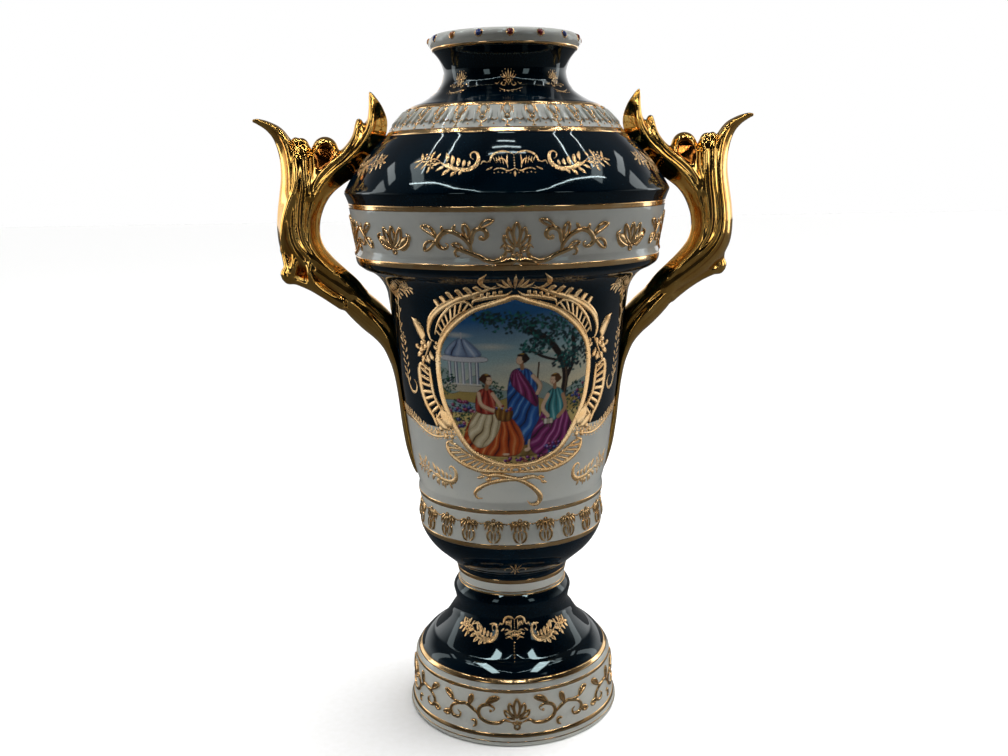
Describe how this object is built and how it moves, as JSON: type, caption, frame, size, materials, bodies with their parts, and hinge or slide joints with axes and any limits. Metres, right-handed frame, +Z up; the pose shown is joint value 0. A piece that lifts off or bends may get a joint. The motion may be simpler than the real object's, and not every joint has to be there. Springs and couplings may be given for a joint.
{
  "type": "mantel urn",
  "caption": "Hollow, open-mouthed porcelain urn with a necked shoulder, tapering body, gilt leaf-scroll handles and a separate bell-shaped foot.",
  "frame": {"origin": "middle of the foot's standing ring, on the surface the urn stands on", "axes": "+Z up along the axis the urn was turned on, handles along +X and -X, picture panel facing -Y"},
  "size_m": [0.2846, 0.1862, 0.4],
  "materials": {
    "cobalt_glaze": "dark cobalt glaze over porcelain, fired to a high gloss",
    "white_glaze": "clear glaze over cool white porcelain, glossy",
    "gilding": "burnished gold, polished on the handles and soft on printed ornament",
    "overglaze_enamel": "painted picture and raised enamel jewels in many colours, glossy"
  },
  "bodies": {
    "root": {"bowl_with_handles": "cobalt_glaze", "pedestal_foot": "white_glaze"}
  },
  "joints": []
}
